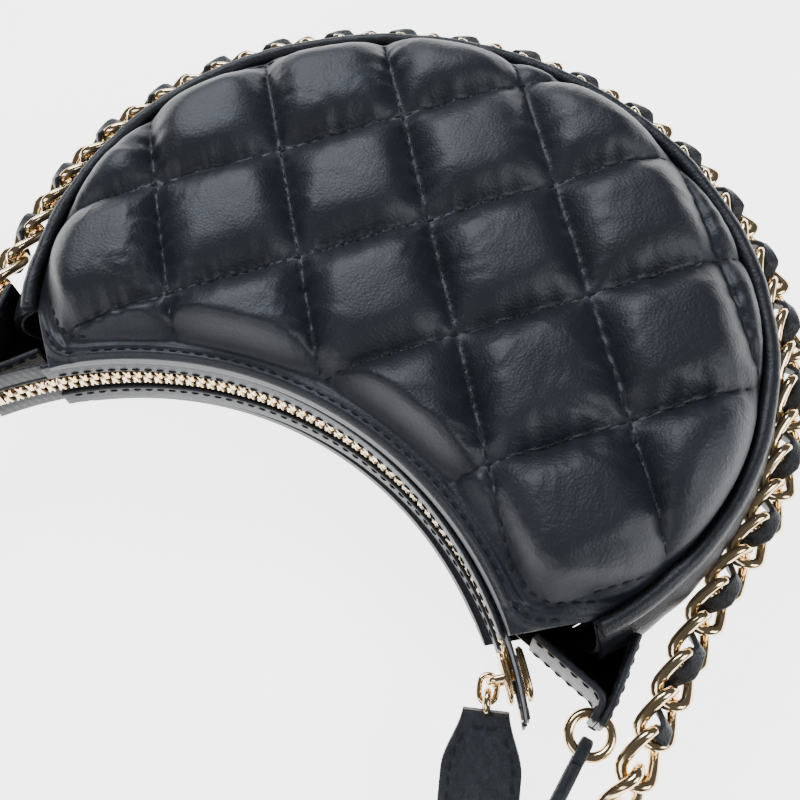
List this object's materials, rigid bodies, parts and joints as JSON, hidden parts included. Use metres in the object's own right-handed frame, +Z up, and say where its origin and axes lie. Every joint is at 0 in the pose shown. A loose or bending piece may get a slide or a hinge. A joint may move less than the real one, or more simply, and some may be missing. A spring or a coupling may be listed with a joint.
{
  "type": "crossbody purse",
  "caption": "Small crescent crossbody purse in quilted leather, with a curved zip mouth, a chain and lace round its gusset, a chain shoulder strap and a leather crossbody strap.",
  "frame": {"origin": "on the surface that the purse lies on, at the back panel's resting face, under the centre of the rounded edge", "axes": "+Z up through the front panel, +Y towards the rounded bottom of the bag, -Y out of the mouth, +X towards the closed end of the zip"},
  "size_m": [0.2048, 0.2703, 0.0415],
  "materials": {
    "quilted_leather": "soft satin lambskin, padded and quilted",
    "smooth_leather": "soft satin lambskin",
    "strap_leather": "fine grained, stitched edges",
    "lace_leather": "narrow folded lace",
    "lining_cloth": "twill",
    "padding": "soft wadding",
    "zip_tape": "woven tape",
    "zip_metal": "polished pale gold",
    "gold_metal": "polished pale gold"
  },
  "bodies": {
    "bag": {"back_mouth_strip": "smooth_leather", "back_panel_leather": "quilted_leather", "back_panel_lining": "lining_cloth", "back_panel_padding": "padding", "back_piping": "smooth_leather", "back_zip_tape": "zip_tape", "back_zip_teeth": "zip_metal", "gusset_chain": "gold_metal", "gusset_lace": "lace_leather", "gusset_leather": "smooth_leather", "gusset_lining": "lining_cloth", "gusset_tongue_left": "smooth_leather", "gusset_tongue_right": "smooth_leather", "mouth_tongue_left": "smooth_leather", "mouth_tongue_right": "smooth_leather", "slip_pocket": "lining_cloth", "tip_ring_left": "gold_metal", "tip_ring_right": "gold_metal", "zip_bottom_stop": "zip_metal", "zip_top_stop": "zip_metal"},
    "front_side": {"front_mouth_strip": "smooth_leather", "front_panel_leather": "quilted_leather", "front_panel_lining": "lining_cloth", "front_panel_padding": "padding", "front_piping": "smooth_leather", "front_zip_tape": "zip_tape", "front_zip_teeth": "zip_metal"},
    "slider": {"zip_slider": "gold_metal", "slider_bail": "gold_metal"},
    "pull_link": {"pull_link": "gold_metal"},
    "pull_tab": {"pull_eye": "gold_metal", "pull_tab_face": "strap_leather", "pull_tab_back": "strap_leather"},
    "shoulder_chain": {"shoulder_chain": "gold_metal", "shoulder_lace": "lace_leather"},
    "crossbody_strap": {"strap_end_right": "strap_leather", "strap_end_left": "strap_leather", "strap_middle": "strap_leather"}
  },
  "joints": [
    {"name": "zip_slide", "type": "hinge", "parent": "bag", "child": "slider", "pos_m": [-0.003, -0.111, 0.02], "axis": [0, 0, 1], "range_deg": [0, 88]},
    {"name": "mouth_open", "type": "hinge", "parent": "bag", "child": "front_side", "pos_m": [0, 0.08, 0.02], "axis": [-1, 0, 0], "range_deg": [0, 6.2]},
    {"name": "pull_turn", "type": "hinge", "parent": "slider", "child": "pull_link", "pos_m": [0.0551, -0.05586, 0.02], "axis": [0, 0, 1], "range_deg": [-88.5, 0.5]},
    {"name": "pull_lift", "type": "hinge", "parent": "pull_link", "child": "pull_tab", "pos_m": [0.05657, -0.05915, 0.02], "axis": [-0.9135, -0.4067, 0], "range_deg": [0, 84]},
    {"name": "chain_swing", "type": "hinge", "parent": "bag", "child": "shoulder_chain", "pos_m": [0.00078, -0.06321, 0.02], "axis": [-0.998, -0.0633, 0], "range_deg": [0, 90]},
    {"name": "strap_swing", "type": "hinge", "parent": "bag", "child": "crossbody_strap", "pos_m": [0.00078, -0.06321, 0.02], "axis": [-0.998, -0.0633, 0], "range_deg": [0, 90]}
  ],
  "couplings": [
    {"joint": "mouth_open", "follows": "zip_slide", "ratio": 0.06818},
    {"joint": "pull_turn", "follows": "zip_slide", "ratio": -1}
  ]
}
